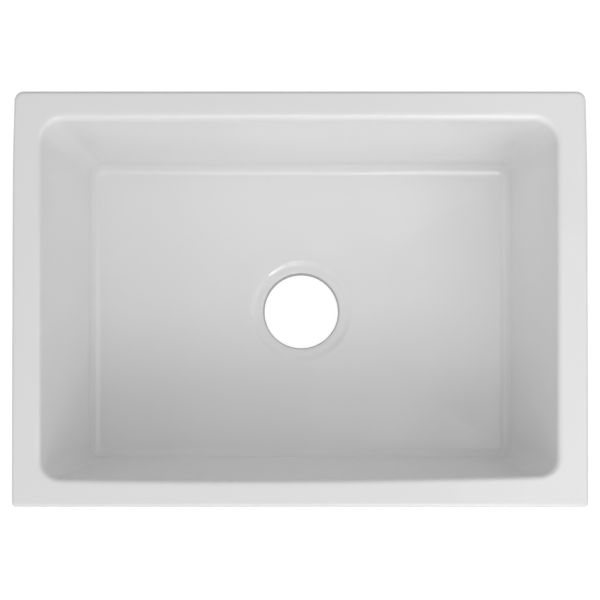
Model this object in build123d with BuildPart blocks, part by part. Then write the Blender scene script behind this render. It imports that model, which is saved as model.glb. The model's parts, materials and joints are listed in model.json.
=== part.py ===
"""Apron-front kitchen sink of fired clay: the cast body, and the glaze coat fused over it.

Millimetres, at real size. +X is to the right, +Y to the back and +Z up, so the apron faces -Y.
The origin is the middle of the footprint, on the plane that the foot stands on.
"""

import os
from math import acos, degrees, radians, sin, tan

from build123d import *

# Outer form, measured over the glaze
width = 610.0  # left to right
depth = 441.0  # apron face to back face
height = 254.0  # foot to rim
outer_draft = 1.0  # lean of the two sides and the back, in degrees; the apron is upright
front_corner = 5.0  # plan radius of the apron's two upright corners
back_corner = 10.0
rim_round = 4.0  # outer edge of the rim
foot_round = 3.0  # lower outer edge

# Bowl, measured inside the glaze
front_rim = 28.0  # rim width from the apron face to the opening
back_rim = 30.0
side_rim = 32.0
lip_round = 8.0  # rolled edge where the rim turns down into the bowl
wall_corner = 22.0  # where two walls meet
cove = 13.0  # where the walls turn into the floor
floor_width = 472.0  # floor inside the coves
floor_depth = 321.5
floor_border = 1.0  # level border of the floor, outside the crease where the fall begins
floor_fall = 4.5  # drop from the crease to the drain

# Drain
bore_diameter = 89.0
bore_chamfer = 1.0  # ground edge at the top of the bore
bare_ring = 1.4  # bare clay left round the mouth of the bore
seat_width = 6.8  # level ring of glaze that the strainer's flange beds on
recess_depth = 2.5  # how far that ring is let into the floor
recess_round = 14.0  # the two curves of the recess's side, which make one soft step
drain_border = 3.0  # level border of the floor round the recess, where the fall ends
deck_thickness = 22.0  # clay and glaze that the strainer clamps

# Underside
foot_band = 38.0  # width of the flat foot that runs all the way round
panel_depth = 3.0  # the rest of the underside is sunk by this much
panel_corner = 30.0

# Glaze
glaze = 1.0
glaze_line = 5.0  # the coat stops this far above the foot

# Heights and places that follow from the sizes above
seat_level = panel_depth + deck_thickness
drain_level = seat_level + recess_depth
floor_level = drain_level + floor_fall
bowl_y = (front_rim - back_rim) / 2
opening_width = width - 2 * side_rim
opening_depth = depth - front_rim - back_rim
bore_radius = bore_diameter / 2
recess_turn = acos(1 - recess_depth / (2 * recess_round))  # how far each curve turns
recess_foot = bore_radius + bare_ring + seat_width  # radius where the side begins
recess_top = recess_foot + 2 * recess_round * sin(recess_turn)  # and where it ends
fall_end = 2 * (recess_top + drain_border)


def outer_plan(level, skin):
    """Half width, front y and back y of the outer faces at a height, lying skin below the glaze."""
    lean = (height - level) * tan(radians(outer_draft))
    return width / 2 - lean - skin, -depth / 2 + skin, depth / 2 - lean - skin


def bowl_plan(across, deep, skin):
    """The same for a rectangle centred on the bowl, lying skin outside its own size."""
    return across / 2 + skin, bowl_y - deep / 2 - skin, bowl_y + deep / 2 + skin


def drafted_block(low, low_plan, high, high_plan):
    """A block with four flat leaning sides, between a plan at a low level and one at a high level."""
    low_side, low_front, low_back = low_plan
    high_side, high_front, high_back = high_plan
    with BuildPart() as block:
        with BuildSketch(Plane.XZ):
            Polygon((-low_side, low), (low_side, low), (high_side, high), (-high_side, high), align=None)
        extrude(amount=depth, both=True)
        with BuildSketch(Plane.YZ):
            Polygon((low_front, low), (low_back, low), (high_back, high), (high_front, high), align=None)
        extrude(amount=width, both=True, mode=Mode.INTERSECT)
    return block.part


def bowl_hollow(skin):
    """The space inside the bowl, with its faces skin below the glaze: drafted walls on coves, a
    floor that falls to the drain in four shallow planes, and the recess for the strainer's flange,
    whose side curves up from the level seat and over into the floor."""
    floor = floor_level - skin
    drain = drain_level - skin
    seat = seat_level - skin
    turn = degrees(recess_turn)
    foot_of_walls = bowl_plan(floor_width + 2 * cove, floor_depth + 2 * cove, skin)
    crease = bowl_plan(floor_width, floor_depth, -floor_border)
    walls = drafted_block(floor, foot_of_walls, height, bowl_plan(opening_width, opening_depth, skin))
    fall = drafted_block(drain, bowl_plan(fall_end, fall_end, 0), floor, crease)
    with BuildPart() as hollow:
        add(walls)
        fillet(hollow.edges().filter_by(Plane.XY, reverse=True), wall_corner + skin)
        fillet(hollow.faces().sort_by(Axis.Z)[0].edges(), cove + skin)
        add(fall)
        with BuildSketch(Plane.XZ.offset(-bowl_y)):
            with BuildLine():
                CenterArc((recess_foot, seat_level + recess_round), recess_round + skin, -90, turn)
                CenterArc((recess_top, drain_level - recess_round), recess_round - skin, 90, turn)
                Polyline((recess_top, drain), (recess_top, floor), (0, floor), (0, seat), (recess_foot, seat))
            make_face()
        revolve(axis=Axis((0, bowl_y, 0), (0, 0, 1)))
    return hollow.part


def sink_form(skin):
    """The whole sink without its bore, as it would be with skin taken off its glazed faces."""
    rim = height - skin
    block = drafted_block(0, outer_plan(0, skin), rim, outer_plan(rim, skin))
    hollow = bowl_hollow(skin)
    with BuildPart() as form:
        add(block)
        upright = form.edges().filter_by(Plane.XY, reverse=True)
        fillet(upright.group_by(Axis.Y)[-1], back_corner - skin)
        upright = form.edges().filter_by(Plane.XY, reverse=True)
        fillet(upright.group_by(Axis.Y)[0], front_corner - skin)
        fillet(form.faces().sort_by(Axis.Z)[-1].edges(), rim_round - skin)
        fillet(form.faces().sort_by(Axis.Z)[0].edges(), foot_round)
        add(hollow, mode=Mode.SUBTRACT)
        fillet(form.faces().sort_by(Axis.Z)[-1].inner_wires()[0].edges(), lip_round - skin)
    return form.part


clay_form = sink_form(glaze)
glazed_form = sink_form(0)

# The cast clay body, with its foot left bare
foot_side, foot_front, foot_back = outer_plan(0, glaze)
with BuildPart() as fireclay_body:
    add(clay_form)
    with BuildSketch(Plane((0, (foot_front + foot_back) / 2, 0))):
        RectangleRounded(
            2 * (foot_side - foot_band),
            foot_back - foot_front - 2 * foot_band,
            panel_corner,
        )
    extrude(amount=panel_depth, mode=Mode.SUBTRACT)
    with Locations((0, bowl_y, 0)):
        Hole(bore_radius)
    mouth = fireclay_body.faces().filter_by(Plane.XY).filter_by_position(
        Axis.Z, seat_level - glaze - 0.1, seat_level - glaze + 0.1
    )
    chamfer(mouth[0].inner_wires()[0].edges(), bore_chamfer)

# The glaze, fired onto every face from the glaze line up
with BuildPart() as glaze_coat:
    add(glazed_form)
    add(clay_form, mode=Mode.SUBTRACT)
    with BuildSketch(Plane.XY):
        Rectangle(2 * width, 2 * depth)
    extrude(amount=glaze_line, mode=Mode.SUBTRACT)
    with Locations((0, bowl_y, 0)):
        Hole(bore_radius + bare_ring)

os.makedirs("parts", exist_ok=True)
fireclay_body.part.label = "fireclay_body"
glaze_coat.part.label = "glaze_coat"
export_step(fireclay_body.part, "parts/fireclay_body.step")
export_step(glaze_coat.part, "parts/glaze_coat.step")
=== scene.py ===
import json
import math

import bpy
import numpy as np
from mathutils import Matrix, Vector


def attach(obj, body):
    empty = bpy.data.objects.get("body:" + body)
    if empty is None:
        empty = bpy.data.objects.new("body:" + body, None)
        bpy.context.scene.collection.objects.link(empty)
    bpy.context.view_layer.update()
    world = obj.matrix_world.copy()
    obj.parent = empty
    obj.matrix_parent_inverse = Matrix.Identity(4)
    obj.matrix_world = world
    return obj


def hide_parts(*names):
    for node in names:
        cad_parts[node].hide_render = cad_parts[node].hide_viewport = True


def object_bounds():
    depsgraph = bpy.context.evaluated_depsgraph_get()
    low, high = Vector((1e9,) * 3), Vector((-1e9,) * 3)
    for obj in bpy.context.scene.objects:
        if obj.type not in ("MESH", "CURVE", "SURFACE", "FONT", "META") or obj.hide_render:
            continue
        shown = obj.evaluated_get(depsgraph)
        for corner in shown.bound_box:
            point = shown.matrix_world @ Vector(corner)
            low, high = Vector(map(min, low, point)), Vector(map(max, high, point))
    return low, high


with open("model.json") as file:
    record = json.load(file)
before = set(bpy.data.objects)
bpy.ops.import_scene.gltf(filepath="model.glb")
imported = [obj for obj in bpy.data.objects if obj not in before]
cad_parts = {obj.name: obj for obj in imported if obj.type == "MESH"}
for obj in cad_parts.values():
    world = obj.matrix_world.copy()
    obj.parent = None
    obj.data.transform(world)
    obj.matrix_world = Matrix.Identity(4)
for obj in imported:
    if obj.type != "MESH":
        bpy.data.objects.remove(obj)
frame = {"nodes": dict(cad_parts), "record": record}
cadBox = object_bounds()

print("frame loaded:", sorted(frame["nodes"]))

mm = 0.001  # in metres; lengths in the dictionaries are in millimetres where no other unit is named
mounts = {mount["name"]: mount for mount in frame["record"]["mounts"]}
boreRadius = mounts["drain_bore"]["dims"]["r_mm"]
bowlY = mounts["drain_bore"]["pos_m"][1] / mm
seatLevel = mounts["strainer_seat"]["pos_m"][2] / mm
panelLevel = mounts["nut_seat"]["pos_m"][2] / mm

# the form that the clay and its glaze share, measured over the glaze
sink = {
    "width": 610.0,
    "depth": 441.0,
    "height": cadBox[1][2] / mm,
    "outerDraft": 1.0,  # degrees, on the sides and the back
    "frontCorner": 5.0,
    "backCorner": 10.0,
    "rimRound": 4.0,
    "footRound": 3.0,
    "frontRim": 28.0,
    "backRim": 31.0,
    "sideRim": 31.65,
    "openingShift": -0.85,
    "openingCorners": (21.0, 25.0),  # at the front and at the back
    # the next three are given at the sides, in front and at the back
    "lipLengths": (15.0, 14.0, 20.0),  # measured along the lip's curve
    "wallFoot": (249.0, 173.75, 173.25),  # half sizes where the walls' planes meet the floor's
    "coves": (13.0, 13.0, 15.0),
    "lowerCorner": 15.0,  # where two walls meet, at the foot of the walls
    "floorFall": 4.5,
    "bareRing": 1.4,  # bare clay left round the mouth of the bore
    "seatWidth": 6.6,  # level ring of glaze round it
    "recessDepth": 2.5,
    "recessSlope": 10.0,  # width of the recess's soft side
    "drainBorder": 7.0,  # level ring round the recess, where the floor's fall ends
    # how thin the glaze runs on each turn of the profile, and below 0 how deep it pools
    "thinning": {"rim": 1.0, "lip": 0.8, "cove": -0.8, "recess": 0.6},
}

# how the firing has warped it
warp = {
    "drawIn": 1.9,  # the back of each side is pulled in by this much at the rim
    "drawInLength": 78.0,
    "drawInBend": 16.0,  # softness of the bend where it begins
    "drawInFrom": 200.0,  # only what lies further than this to either side moves
    # at x mm the opening's front edge lies back by the first, plus the second times x, plus the
    # third times x squared, and this dies away over the reach behind it
    "bow": (0.7, 0.0060, 0.000046),
    "bowReach": 70.0,
}

drainLevel = seatLevel + sink["recessDepth"]  # of the floor round the recess
floorLevel = drainLevel + sink["floorFall"]  # and at the crease, where it meets the coves
# the bowl's walls at the sides, in front and at the back: half sizes in the rim's plane and in the
# floor's, and the lean, in radians
wallTop = np.array([sink["width"] / 2 - sink["sideRim"], sink["depth"] / 2 - sink["frontRim"] + bowlY,
                    sink["depth"] / 2 - sink["backRim"] - bowlY])
wallFoot = np.array(sink["wallFoot"])
wallLean = np.arctan((wallTop - wallFoot) / (sink["height"] - floorLevel))
coves = np.array(sink["coves"])
creaseHalves = wallFoot - coves
creaseCorner = 1.0  # plan radius of the crease's corners that spreads the samples of the circles

# how many samples the outline and the profile have on each of their stretches
planSamples = {"corner": 14, "longSide": 64, "shortSide": 46}
profileSamples = {"outer": 22, "rimRound": 8, "rim": 8, "lip": 18, "wall": 24, "cove": 18, "fall": 26,
                  "recess": 16}
hiddenShare = 0.5  # of those samples, on surfaces that the glaze hides
endSamples = {"seat": 4, "mouth": 12, "underside": 10, "foot": 4}
lipSteps = 240  # of the sum that gives the lip's curve


def planPattern():
    # one turn round a rounded rectangle, from the right side's front end: for each sample the cosine
    # and sine of its outward direction, and the place of its arc's centre, across from -1 to 1 and
    # along from 0 at the front to 1 at the back
    corner = np.linspace(0, math.pi / 2, planSamples["corner"], endpoint=False)
    directions, across, along = [], [], []
    sides = [("shortSide", (1, 1), (0, 1)), ("longSide", (1, -1), (1, 1)),
             ("shortSide", (-1, -1), (1, 0)), ("longSide", (-1, 1), (0, 0))]
    for turn, (side, acrossEnds, alongEnds) in enumerate(sides):
        straight = np.linspace(0, 1, planSamples[side], endpoint=False)
        directions += [np.full(len(straight), turn * math.pi / 2), turn * math.pi / 2 + corner]
        for places, (start, end) in ((across, acrossEnds), (along, alongEnds)):
            places += [start + (end - start) * straight, np.full(len(corner), end)]
    angle = np.concatenate(directions)
    return np.cos(angle), np.sin(angle), np.concatenate(across), np.concatenate(along)


outX, outY, acrossPlan, alongPlan = planPattern()

# a profile row is a rounded rectangle, or a circle where "round" is 1: three levels, a half width,
# the y of its front and back, its corners, and shares of what warps or colours it
columnNames = ["zSide", "zFront", "zBack", "half", "front", "back", "frontCorner", "backCorner",
               "draw", "bow", "round", "radius", "thin", "hem"]
column = {name: i for i, name in enumerate(columnNames)}


def stations(count, z, **values):
    # rows of the profile: z is one level, a level for each row, or a table of them at the sides, in
    # front and at the back; other values are a number or an array down the rows, or else 0
    rows = np.zeros((count, len(column)))
    rows[:, :3] = z if np.ndim(z) == 2 else np.reshape(z, (-1, 1))
    for name, value in values.items():
        rows[:, column[name]] = value
    return rows


def movedIn(rows, inward):
    # the same rows with their outlines moved inwards on every side
    rows = rows.copy()
    for name, sign in (("half", -1), ("front", 1), ("back", -1)):
        rows[..., column[name]] += sign * inward
    return rows


def between(first, last, count):
    # rows evenly between two rows, both left out: first + (last - first) * part
    part = np.linspace(0, 1, count + 2)[1:-1, None]
    return first + (last - first) * part


def onwards(start, end, count):
    # evenly spaced numbers, from the first one past the start up to the end
    return np.linspace(start, end, count + 1)[1:]


def outerRows(skin, low, count):
    # outer faces, skin below the glaze, from a low level up to the rim's round: they lean in towards
    # the foot by the draft's tangent, and the firing draws them in by the square of the height
    s = sink
    z = np.linspace(low, s["height"] - s["rimRound"], count)
    lean = (s["height"] - z) * math.tan(math.radians(s["outerDraft"]))
    return stations(count, z, half=s["width"] / 2 - skin - lean,
                    front=-s["depth"] / 2 + skin, back=s["depth"] / 2 - skin - lean,
                    frontCorner=s["frontCorner"] - skin, backCorner=s["backCorner"] - skin,
                    draw=(z / s["height"]) ** 2)


def rimRows(skin, countRound, countFlat):
    # quarter round at the rim's outer edge, by the cosine and sine of its turn, then the flat rim,
    # whose outline changes evenly from the outside's small corners to the opening's large ones
    s = sink
    turn = onwards(0, math.pi / 2, countRound)
    inset = s["rimRound"] - (s["rimRound"] - skin) * np.cos(turn)
    z = s["height"] - s["rimRound"] + (s["rimRound"] - skin) * np.sin(turn)
    roundRows = stations(countRound, z, half=s["width"] / 2 - inset,
                         front=-s["depth"] / 2 + inset, back=s["depth"] / 2 - inset,
                         frontCorner=s["frontCorner"] - inset, backCorner=s["backCorner"] - inset,
                         draw=1, thin=s["thinning"]["rim"] * np.sin(2 * turn))
    return np.vstack([roundRows, between(roundRows[-1], lipRows(skin, 2)[0], countFlat)])


def bowlRows(halves, z, corners, **more):
    # rows of a rounded rectangle round the middle of the bowl, from half sizes and levels at the
    # sides, in front and at the back
    return stations(len(halves), z, half=halves[:, 0], front=bowlY - halves[:, 1],
                    back=bowlY + halves[:, 2], frontCorner=corners[0], backCorner=corners[1], **more)


def softStep(part):
    # from 0 to 1, starting and ending level and straight: 6p^5 - 15p^4 + 10p^3
    return part**3 * (10 - 15 * part + 6 * part**2)


def lipRows(skin, count):
    # the rolled lip, from the level rim to the leaning wall: after a part of its length it has
    # turned by the soft step of that part, and the sums of its cosine and sine are its way in and down
    wholeTurn = math.pi / 2 - wallLean
    turn = softStep((np.arange(lipSteps)[:, None] + 0.5) / lipSteps) * wholeTurn
    inward, down = (np.vstack([np.zeros((1, 3)), np.cumsum(way(turn), 0)])
                    * sink["lipLengths"] / lipSteps for way in (np.cos, np.sin))
    chosen = np.linspace(0, lipSteps, count).astype(int)
    turn = softStep(chosen[:, None] / lipSteps) * wholeTurn
    halves = wallTop - down[-1] * np.tan(wallLean) + inward[-1] - inward[chosen] + skin * np.sin(turn)
    z = sink["height"] - down[chosen] - skin * np.cos(turn)
    # a corner's radius grows and shrinks by the mean of its two sides
    corners = [corner + (halves - wallTop)[:, [0, end]].mean(1)
               for corner, end in zip(sink["openingCorners"], (1, 2))]
    return bowlRows(halves, z, corners, bow=1, thin=np.sin(2 * turn[:, 0]) * sink["thinning"]["lip"])


def coveRows(skin, count):
    # the cove: an arc from the leaning wall to the floor's plane, tangent to both
    level = floorLevel + coves
    tangent = wallTop - (sink["height"] - level + coves * np.sin(wallLean)) * np.tan(wallLean)
    centre = tangent - coves * np.cos(wallLean)
    turn = np.linspace(1, 0, count)[:, None] * (math.pi / 2 - wallLean)
    halves = centre + (coves + skin) * np.sin(turn)
    z = level - (coves + skin) * np.cos(turn)
    corner = sink["lowerCorner"] + (halves - wallFoot).mean(1)
    return bowlRows(halves, z, (corner, corner), thin=sink["thinning"]["cove"] * np.sin(2 * turn[:, 0]))


def ringRows(radius, z, **more):
    # circular rows round the drain
    return stations(len(radius), z, round=1, radius=radius, **more)


def ringBeside(row, z):
    # the circle that a row's outline turns into, on straight lines towards the drain
    ring = row.copy()
    ring[:3] = z
    ring[column["round"]] = 1
    return ring


def floorRows(skin, countFall, countRecess):
    # from the crease the floor falls evenly to a level ring round the recess, whose side rises by
    # the soft step of the part of the way out; that step's own slope is 30 (p - p^2)^2
    s = sink
    corner = s["lowerCorner"] - np.mean(coves)
    recessFoot = boreRadius + s["bareRing"] + s["seatWidth"]
    crease = bowlRows(creaseHalves[None], floorLevel - skin, (corner, corner),
                      radius=recessFoot + s["recessSlope"] + s["drainBorder"])
    end = ringBeside(crease[0], drainLevel - skin)
    fall = between(crease[0], end, countFall)
    part = np.linspace(1, 0, countRecess)
    slope = s["recessDepth"] / s["recessSlope"] * 30 * (part - part**2) ** 2
    stretch = np.hypot(slope, 1)
    recess = ringRows(recessFoot + s["recessSlope"] * part + skin * slope / stretch,
                      seatLevel + s["recessDepth"] * softStep(part) - skin / stretch,
                      thin=s["thinning"]["recess"] * slope * (2 * part - 1))
    return np.vstack([crease, fall, end, recess])


def sinkRows(skin, low, share=1.0):
    # the whole profile, skin below the glaze, from a low level on the outside, over the rim and down
    # to the seat, with a share of the samples
    count = {name: int(number * share) for name, number in profileSamples.items()}
    lip = lipRows(skin, count["lip"])
    cove = coveRows(skin, count["cove"])
    return np.vstack([
        outerRows(skin, low, count["outer"]),
        rimRows(skin, count["rimRound"], count["rim"]),
        lip,
        between(lip[-1], cove[0], count["wall"]),
        cove,
        floorRows(skin, count["fall"], count["recess"]),
    ])


def carriedRound(rows):
    # points of the closed grid: every profile row carried once round its plan outline
    value = {name: rows[:, [i]] for name, i in column.items()}
    corner = np.where(outY > 0, value["backCorner"], value["frontCorner"])
    x = acrossPlan * (value["half"] - corner) + outX * corner
    y = ((1 - alongPlan) * (value["front"] + value["frontCorner"])
         + alongPlan * (value["back"] - value["backCorner"]) + outY * corner)
    # at a corner the level passes from the side's to the end's by the squares of cosine and sine
    z = value["zSide"] * outX**2 + np.where(outY > 0, value["zBack"], value["zFront"]) * outY**2
    # the back of each side is drawn in along a soft ramp: (p + sqrt(p^2 + bend^2)) / 2 / length
    past = y - (sink["depth"] / 2 - warp["drawInLength"])
    ramp = (past + np.sqrt(past**2 + warp["drawInBend"] ** 2)) / 2 / warp["drawInLength"]
    x = x - np.sign(x) * value["draw"] * warp["drawIn"] * ramp * (np.abs(x) > warp["drawInFrom"])
    # the bow dies away behind the opening's front edge, by the square of what is left of its reach
    left = np.clip(1 - (y + sink["depth"] / 2 - sink["frontRim"]) / warp["bowReach"], 0, 1)
    x = x + value["bow"] * sink["openingShift"]
    bow = warp["bow"]
    y = y + value["bow"] * (bow[0] + bow[1] * x + bow[2] * x**2) * left**2
    # circular rows keep the polar angle that the crease has at each sample
    side, front = creaseHalves[:2] - creaseCorner
    angle = np.arctan2((2 * alongPlan - 1) * front + outY * creaseCorner,
                       acrossPlan * side + outX * creaseCorner)
    x = (1 - value["round"]) * x + value["round"] * value["radius"] * np.cos(angle)
    y = (1 - value["round"]) * y + value["round"] * (bowlY + value["radius"] * np.sin(angle))
    # the hem of the glaze wanders up and down
    z = z + value["hem"] * sum(np.sin(waves * angle + start) * height
                               for waves, start, height in glaze["hemWaves"])
    return np.stack([x, y, z], -1) * mm


def gridPiece(name, points, finish, **attributes):
    # a closed mesh from a grid that joins up both ways, with its faces turned outwards
    rows, around = points.shape[:2]
    index = np.arange(rows * around).reshape(rows, around)
    nextRow = np.roll(index, -1, 0)
    corners = [index, np.roll(index, -1, 1), np.roll(nextRow, -1, 1), nextRow]
    quads = np.stack(corners, -1).reshape(-1, 4)
    flat = points.reshape(-1, 3)
    a, b, c, d = (flat[quads[:, i]] for i in range(4))
    # six times the volume: the sum of a . (b x c) over both triangles of each face
    volume = sum(np.einsum("ij,ij->i", a, np.cross(*pair)).sum() for pair in ((b, c), (c, d)))
    if volume < 0:
        quads = quads[:, ::-1]
    mesh = bpy.data.meshes.new(name)
    mesh.from_pydata(flat.tolist(), [], quads.tolist())
    mesh.polygons.foreach_set("use_smooth", np.ones(len(quads), bool))
    for key, values in attributes.items():
        layer = mesh.attributes.new(key, "FLOAT", "POINT")
        layer.data.foreach_set("value", values.reshape(-1).astype(np.float32))
    mesh.update()
    piece = bpy.data.objects.new(name, mesh)
    bpy.context.scene.collection.objects.link(piece)
    mesh.materials.append(finish)
    print(name, "faces", len(quads), "litres", round(abs(volume) / 6 * 1000, 3))
    return piece


class Wire:
    # one shader socket in a sum: each operator adds a Math node to the tree that it belongs to
    def __init__(self, tree, socket):
        self.tree = tree
        self.socket = socket

    def combine(self, operation, first, second):
        return self.tree.node("ShaderNodeMath", {"operation": operation}, {0: first, 1: second})

    def __add__(self, other):
        return self.combine("ADD", self, other)

    def __sub__(self, other):
        return self.combine("SUBTRACT", self, other)

    def __rsub__(self, other):
        return self.combine("SUBTRACT", other, self)

    def __mul__(self, other):
        return self.combine("MULTIPLY", self, other)

    def __pow__(self, other):
        return self.combine("POWER", self, other)

    __radd__ = __add__
    __rmul__ = __mul__


class Tree:
    # a node tree; node() adds any node from its type, its settings and its sockets' values or links
    def __init__(self, tree):
        self.tree = tree

    def node(self, kind, settings=None, sockets=None, output=0):
        made = self.tree.nodes.new(kind)
        for key, value in (settings or {}).items():
            setattr(made, key, value)
        for key, value in (sockets or {}).items():
            if isinstance(value, Wire):
                self.tree.links.new(value.socket, made.inputs[key])
            else:
                made.inputs[key].default_value = value
        return Wire(self, made.outputs[output]) if made.outputs else None

    def mixed(self, factor, first, second):
        # the node for colours: its sockets 6 and 7 are A and B, and its output 2 the result
        return self.node("ShaderNodeMix", {"data_type": "RGBA"},
                         {"Factor": factor, 6: first, 7: second}, output=2)


class Finish(Tree):
    # a material and its tree
    def __init__(self, name):
        self.material = bpy.data.materials.new(name)
        self.material.use_nodes = True
        self.material.node_tree.nodes.clear()
        super().__init__(self.material.node_tree)

    def surface(self, shader):
        self.node("ShaderNodeOutputMaterial", {}, {"Surface": shader})
        return self.material


# the coat of glaze; the sizes of its patterns are in bumps per metre
glaze = {
    "thickness": 1.0,
    "line": 5.0,  # the coat stops this far above the foot
    "hemHeight": 1.0,  # and its lower edge rolls under, in steps of a drop and a way in
    "hemSteps": ((1.0, 0.85), (0.85, 0.45), (0.5, 0.12)),
    "hemFade": (1, 1, 0.8, 0.5, 0.2, 0),  # the share of the hem's waves that each row above it takes
    "hemWaves": ((5, 0.7, 0.45), (13, 2.1, 0.30), (31, 0.0, 0.15)),  # waves round the sink, start, mm
    "mouthRoll": 3.2,  # it rolls over into the bore across this width
    "mouthDrop": 0.96,  # and by this share of its thickness
    "unevenness": 0.10,  # depth of the slow waves in the fired faces
    # each wave's radians per metre along x, y and z, and its start
    "waves": ((24.1, 5.3, -9.2, 0.4), (-7.7, 31.2, 12.1, 1.9), (13.9, -17.2, 36.8, 3.1),
              (61.3, 33.9, 8.8, 0.9), (-42.7, 58.3, -31.1, 2.6), (18.2, 74.4, 41.9, 5.2)),
    "colour": (0.87, 0.87, 0.87, 1),
    "thinColour": (0.83, 0.825, 0.815, 1),  # where the coat runs thin the clay shows through
    "shares": (0.55, 0.30, 0.12),  # how much of that comes from thinness, from clouds and from specks
    "cloudSize": 11.0,
    "speckSize": 95.0,
    "roughness": 0.045,
    "roughnessSpread": 0.04,
    "refraction": 1.52,
    "peelSize": 260.0,
    "peelDepth": 0.010,
}


def unevenly(points):
    # moves each point of the closed grid inwards along its normal by the slow unevenness, a mean of
    # sine waves 70 to 260 mm long
    alongRow = np.roll(points, -1, 1) - np.roll(points, 1, 1)
    acrossRows = np.roll(points, -1, 0) - np.roll(points, 1, 0)
    normal = np.cross(alongRow, acrossRows)
    normal /= np.maximum(np.linalg.norm(normal, axis=-1, keepdims=True), 1e-12)
    waves = np.array(glaze["waves"])
    swell = np.sin(points @ waves[:, :3].T + waves[:, 3]).mean(-1)
    return points - normal * ((0.5 + 0.5 * swell) * glaze["unevenness"] * mm)[..., None]


def glazeProfile():
    # the coat's outside, from its hem to the ring round the bore, then its inside back again
    g = glaze
    outside = sinkRows(0.0, g["line"] + g["hemHeight"])
    outside[:len(g["hemFade"]), column["hem"]] = g["hemFade"]
    drop, inward = np.array(g["hemSteps"]).T
    hemRoll = movedIn(np.repeat(outside[:1], len(drop), 0), inward)
    hemRoll[:, :3] -= drop[:, None]
    hemRoll[:, [column["hem"], column["thin"]]] = 1
    mouth = boreRadius + sink["bareRing"]
    seat = ringRows(onwards(mouth + sink["seatWidth"], mouth + g["mouthRoll"], endSamples["seat"]),
                    seatLevel)
    # over the mouth the coat turns down by the sine and cosine of a quarter turn
    turn = onwards(0, math.pi / 2, endSamples["mouth"])
    mouthRoll = ringRows(mouth + g["mouthRoll"] * (1 - np.sin(turn)),
                         seatLevel - g["mouthDrop"] * g["thickness"] * (1 - np.cos(turn)),
                         thin=np.sin(turn) ** 4)
    inside = sinkRows(g["thickness"], g["line"], hiddenShare)
    inside[0, column["hem"]] = 1
    innerSeat = ringRows(np.array([mouth]), seatLevel - g["thickness"])
    return np.vstack([hemRoll, outside, seat, mouthRoll, innerSeat, inside[::-1]])


def glazeFinish():
    look = glaze
    tree = Finish("whiteGlaze")
    place = tree.node("ShaderNodeTexCoord", output="Object")
    thin = tree.node("ShaderNodeAttribute", {"attribute_name": "thin"}, output="Fac")
    cloud, speck, peel = (
        tree.node("ShaderNodeTexNoise", {}, {"Vector": place, "Scale": look[size], "Detail": detail})
        for size, detail in (("cloudSize", 2.0), ("speckSize", 3.0), ("peelSize", 1.0)))
    thinShare, cloudShare, speckShare = look["shares"]
    share = thin * thinShare + (cloud - 0.5) * cloudShare + (speck - 0.5) * speckShare
    colour = tree.mixed(tree.node("ShaderNodeClamp", {}, {"Value": share}), look["colour"],
                        look["thinColour"])
    rough = look["roughness"] + (cloud - 0.5) * look["roughnessSpread"]
    bump = tree.node("ShaderNodeBump", {},
                     {"Strength": 1.0, "Distance": look["peelDepth"] * mm, "Height": peel})
    return tree.surface(tree.node("ShaderNodeBsdfPrincipled", {}, {
        "Base Color": colour, "Roughness": rough, "IOR": look["refraction"], "Normal": bump}))


# the bare clay, with its foot and its bore; the sizes of its patterns are in bumps per metre
clay = {
    "boreChamfer": 1.0,
    "boreFlare": 0.6,  # lower edge of the bore
    "footBand": 38.0,
    "footCorner": 0.8,  # the sharpest that the apron's corners get at the foot
    "panelCorner": 30.0,
    "panelEases": (0.5, 0.8),  # lower and upper edge of the sunk panel
    "colour": (0.74, 0.69, 0.61, 1),
    "paleColour": (0.82, 0.78, 0.71, 1),
    "cloudSize": 14.0,
    "cloudStart": 0.35,
    "cloudGain": 2.2,
    "grainSize": 900.0,
    "grainGain": 0.5,
    "grainDepth": 0.15,
    "speckColour": (0.42, 0.34, 0.26, 1),
    "speckSize": 140.0,
    "speckReach": 0.10,  # of the way to the next speck
    "speckGain": 12.0,
    "speckShare": 0.7,
    "washColour": (0.58, 0.575, 0.565, 1),  # a mist of glaze round the drain's bore, darkened to a grey as painted shade of the bore's edge
    "washReach": 6.0,  # it ends this far outside the bore
    "washGain": 250.0,  # and fades at this rate per metre
    "roughness": 0.9,
    "roughnessDrop": 0.1,  # less on the grain's high points
    "refraction": 1.45,
}


def clayProfile():
    # the clay under the coat, then down through the bore, out across the sunk underside, down the
    # panel's edge, and over the foot
    s, c = sink, clay
    body = sinkRows(glaze["thickness"], s["footRound"], hiddenShare)
    under = seatLevel - glaze["thickness"]
    flare = c["boreFlare"]
    bore = ringRows(boreRadius + np.array([c["boreChamfer"], 0, 0, 0, flare]),
                    np.array([under, under - c["boreChamfer"], (under + panelLevel) / 2,
                              panelLevel + flare, panelLevel]))
    # a quarter round from the outer faces to the foot
    turn = onwards(0, math.pi / 2, endSamples["foot"])
    inset = s["footRound"] * (1 - np.cos(turn))
    foot = movedIn(np.repeat(body[:1], len(turn), 0), inset)
    front, back = column["frontCorner"], column["backCorner"]
    foot[:, front] = np.maximum(foot[:, front] - inset, c["footCorner"])
    foot[:, back] -= inset
    foot[:, :3] = (s["footRound"] * (1 - np.sin(turn)))[:, None]
    lower, upper = c["panelEases"]
    panel = movedIn(np.repeat(body[:1], 4, 0), c["footBand"])
    panel = movedIn(panel, np.array([-lower, 0, 0, upper]))
    panel[:, :3] = np.array([[0, lower, panelLevel - upper, panelLevel]]).T
    panel[:, [front, back]] = c["panelCorner"]
    panel[:, column["radius"]] = boreRadius + flare
    underside = between(ringBeside(panel[-1], panelLevel), panel[-1], endSamples["underside"])
    return np.vstack([body, bore, underside, panel[::-1], foot[::-1]])


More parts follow.
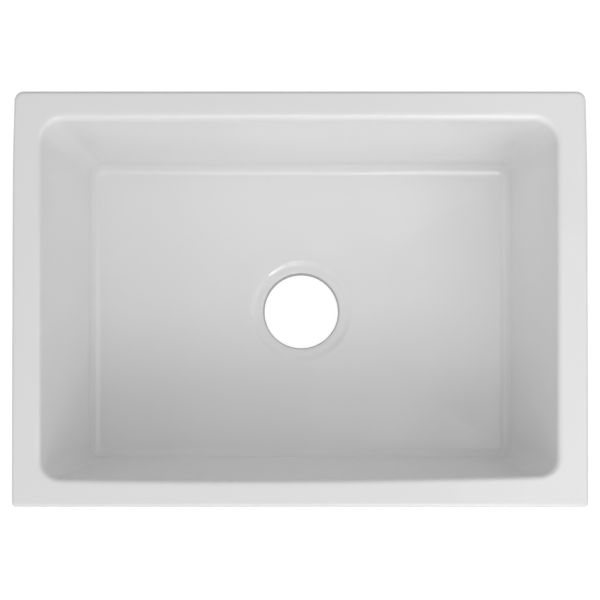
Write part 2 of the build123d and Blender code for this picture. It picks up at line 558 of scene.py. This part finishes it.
def clayFinish():
    look = clay
    tree = Finish("bareClay")
    place = tree.node("ShaderNodeTexCoord", output="Object")
    cloud, grain = (
        tree.node("ShaderNodeTexNoise", {}, {"Vector": place, "Scale": look[size], "Detail": detail})
        for size, detail in (("cloudSize", 4.0), ("grainSize", 3.0)))
    speck = tree.node("ShaderNodeTexVoronoi", {}, {"Vector": place, "Scale": look["speckSize"]})
    blend = (cloud - look["cloudStart"]) * look["cloudGain"] + (grain - 0.5) * look["grainGain"]
    colour = tree.mixed(tree.node("ShaderNodeClamp", {}, {"Value": blend}), look["colour"],
                        look["paleColour"])
    dots = tree.node("ShaderNodeClamp", {}, {"Value": (look["speckReach"] - speck) * look["speckGain"]})
    colour = tree.mixed(dots * look["speckShare"], colour, look["speckColour"])
    # the glaze mist and its painted shade go by the distance from the bore's axis, the root of x^2 +
    # y^2
    x = tree.node("ShaderNodeSeparateXYZ", {}, {"Vector": place}, output="X")
    y = tree.node("ShaderNodeSeparateXYZ", {}, {"Vector": place}, output="Y") - bowlY * mm
    inside = (boreRadius + look["washReach"]) * mm - (x * x + y * y) ** 0.5
    mistAndShade = tree.node("ShaderNodeClamp", {}, {"Value": inside * look["washGain"]})
    # the darker grey round the bore is painted shade of its edge over the mist of glaze
    colour = tree.mixed(mistAndShade, colour, look["washColour"])
    rough = look["roughness"] - grain * look["roughnessDrop"]
    bump = tree.node("ShaderNodeBump", {},
                     {"Strength": 1.0, "Distance": look["grainDepth"] * mm, "Height": grain})
    return tree.surface(tree.node("ShaderNodeBsdfPrincipled", {}, {
        "Base Color": colour, "Roughness": rough, "IOR": look["refraction"], "Normal": bump}))


glazeRows = glazeProfile()
glazePiece = gridPiece("glaze", unevenly(carriedRound(glazeRows)), glazeFinish(),
                       thin=np.repeat(glazeRows[:, [column["thin"]]], len(outX), 1))
clayPiece = gridPiece("clay", carriedRound(clayProfile()), clayFinish())
for piece, node, slot in ((glazePiece, "glaze_coat", "white_glaze"),
                          (clayPiece, "fireclay_body", "bare_clay")):
    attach(piece, "root")
    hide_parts(node)
print("pieces made")

stage = {
    "span": 4.0,  # metres
    "level": -0.2,  # just clear of the foot
    "glow": 0.90,  # seen by the camera and in reflections, the floor glows nearly white
    "shade": 0.24,  # and the rest of its colour takes the sink's shadow
    "colour": 0.80,  # what lights the sink from below
}


def floorFinish():
    tree = Finish("paleFloor")
    camera, glossy, through = (tree.node("ShaderNodeLightPath", output=ray)
                               for ray in ("Is Camera Ray", "Is Glossy Ray", "Is Transmission Ray"))
    seen = tree.node("ShaderNodeClamp", {}, {"Value": camera + glossy + through})
    glow = tree.node("ShaderNodeEmission", {}, {"Color": (1, 1, 1, 1), "Strength": stage["glow"]})
    shade, plain = (tree.node("ShaderNodeBsdfDiffuse", {}, {"Color": (stage[key],) * 3 + (1,)})
                    for key in ("shade", "colour"))
    both = tree.node("ShaderNodeAddShader", {}, {0: glow, 1: shade})
    return tree.surface(tree.node("ShaderNodeMixShader", {}, {0: seen, 1: plain, 2: both}))


def makeFloor():
    half, level = stage["span"] / 2, stage["level"] * mm
    corners = [(x * half, y * half, level) for x, y in ((-1, -1), (1, -1), (1, 1), (-1, 1))]
    mesh = bpy.data.meshes.new("floor")
    mesh.from_pydata(corners, [], [(0, 1, 2, 3)])
    mesh.materials.append(floorFinish())
    floor = bpy.data.objects.new("floor", mesh)
    bpy.context.scene.collection.objects.link(floor)


makeFloor()

surroundings = {"ambient": 0.275, "seen": 1.0}  # what lights the sink, and what the camera sees: white


def makeWorld():
    world = bpy.data.worlds.new("studio")
    world.use_nodes = True
    world.node_tree.nodes.clear()
    bpy.context.scene.world = world
    tree = Tree(world.node_tree)
    camera, through = (tree.node("ShaderNodeLightPath", output=ray)
                       for ray in ("Is Camera Ray", "Is Transmission Ray"))
    seen = tree.node("ShaderNodeClamp", {}, {"Value": camera + through})
    strength = surroundings["ambient"] + seen * (surroundings["seen"] - surroundings["ambient"])
    light = tree.node("ShaderNodeBackground", {}, {"Color": (1, 1, 1, 1), "Strength": strength})
    tree.node("ShaderNodeOutputWorld", {}, {"Surface": light})


makeWorld()

# soft boxes round the sink: the compass angle from the right side and the height angle of each, in
# degrees, its distance in metres, the degrees that it spans across and up as seen from the sink, and
# the brightness of its face, where 1 is white
lamps = {
    "keyStrip": {"turn": 281.3, "rise": 42, "away": 5.0, "span": (7.8, 42), "brightness": 2.80},
    "keyTop": {"turn": 283, "rise": 60, "away": 5.0, "span": (18, 4), "brightness": 1.90},
    "keyHigh": {"turn": 283, "rise": 66, "away": 5.0, "span": (22, 5), "brightness": 2.15},
    "keyLow": {"turn": 282, "rise": 14, "away": 5.0, "span": (25, 10), "brightness": 2.18},
    "keyRight": {"turn": 298, "rise": 35, "away": 5.0, "span": (19, 28), "brightness": 0.35},
    "keyRightTop": {"turn": 299, "rise": 56, "away": 5.0, "span": (12, 12), "brightness": 1.00},
    "keyBand": {"turn": 303, "rise": 46, "away": 5.0, "span": (17, 3.6), "brightness": 7.6},
    "keyLeft": {"turn": 265, "rise": 36, "away": 5.0, "span": (18, 28), "brightness": 0.97},
    "keyLeftTop": {"turn": 265, "rise": 57, "away": 5.0, "span": (12, 14), "brightness": 1.83},
    "frontTop": {"turn": 288, "rise": 74, "away": 3.5, "span": (22, 8), "brightness": 0.39},
    "frontRight": {"turn": 322, "rise": 42, "away": 4.0, "span": (18, 38), "brightness": 0.47},
    "frontLeftLow": {"turn": 242, "rise": 22, "away": 5.0, "span": (22, 22), "brightness": 0.99},
    "frontLeft": {"turn": 242, "rise": 46, "away": 5.0, "span": (17, 26), "brightness": 0.88},
    "leftFrontLow": {"turn": 214, "rise": 22, "away": 5.0, "span": (30, 12), "brightness": 0.39},
    "leftFront": {"turn": 214, "rise": 44, "away": 5.0, "span": (23, 32), "brightness": 0.73},
    "left": {"turn": 180, "rise": 42, "away": 5.0, "span": (30, 40), "brightness": 0.83},
    "back": {"turn": 88, "rise": 44, "away": 5.0, "span": (32, 34), "brightness": 0.28},
    "backTop": {"turn": 70, "rise": 68, "away": 3.5, "span": (30, 16), "brightness": 0.16},
    "right": {"turn": 354, "rise": 45, "away": 2.4, "span": (25.5, 34), "brightness": 0.87},
    "nearRight": {"turn": 320, "rise": 52, "away": 1.3, "span": (27, 36), "brightness": 0.26},
    "nearRightTop": {"turn": 350, "rise": 60, "away": 1.1, "span": (25, 30), "brightness": 0.41},
    "nearRightLow": {"turn": 355, "rise": 36, "away": 1.2, "span": (40, 24), "brightness": 0.32},
    "nearBackRight": {"turn": 35, "rise": 52, "away": 1.2, "span": (31, 34), "brightness": 0.22},
    "nearTop": {"turn": 0, "rise": 80, "away": 1.1, "span": (10.4, 20), "brightness": 0.26},
    "ceiling": {"turn": 0, "rise": 90, "away": 3.5, "span": (36, 36), "brightness": 0.19},
    "ceilingRight": {"turn": 0, "rise": 81, "away": 2.4, "span": (14, 10), "brightness": 0.36},
}
lampAim = (0.0, 0.0, 0.15)  # metres
wattsPerArea = math.pi  # a square metre of lamp at this power has a face as bright as white


def makeLamps():
    for name, lamp in lamps.items():
        data = bpy.data.lights.new(name, "AREA")
        data.shape = "RECTANGLE"
        data.size, data.size_y = (lamp["away"] * math.radians(angle) for angle in lamp["span"])
        data.energy = lamp["brightness"] * data.size * data.size_y * wattsPerArea
        turn, rise = math.radians(lamp["turn"]), math.radians(lamp["rise"])
        level = math.cos(rise)
        outwards = Vector((level * math.cos(turn), level * math.sin(turn), math.sin(rise)))
        made = bpy.data.objects.new(name, data)
        made.location = Vector(lampAim) + outwards * lamp["away"]
        made.rotation_euler = outwards.to_track_quat("Z", "Y").to_euler()
        made.visible_camera = False
        bpy.context.scene.collection.objects.link(made)


makeLamps()

view = {
    "place": (0.0098, -0.1027, 1.9322),  # metres, a little in front of the sink's middle
    "tilt": 0.015,  # radians, towards the back
    "sensor": 36.0,
    "lens": 95.3,
    "shift": (-0.0155, 0.1200),  # of the sensor's width
}


def makeCamera():
    data = bpy.data.cameras.new("camera")
    data.sensor_width = view["sensor"]
    data.lens = view["lens"]
    data.shift_x, data.shift_y = view["shift"]
    camera = bpy.data.objects.new("camera", data)
    camera.location = view["place"]
    camera.rotation_euler = (view["tilt"], 0.0, 0.0)
    bpy.context.scene.collection.objects.link(camera)
    bpy.context.scene.camera = camera


makeCamera()
bpy.context.scene.view_settings.view_transform = "Standard"
print("stage, lamps and camera set")
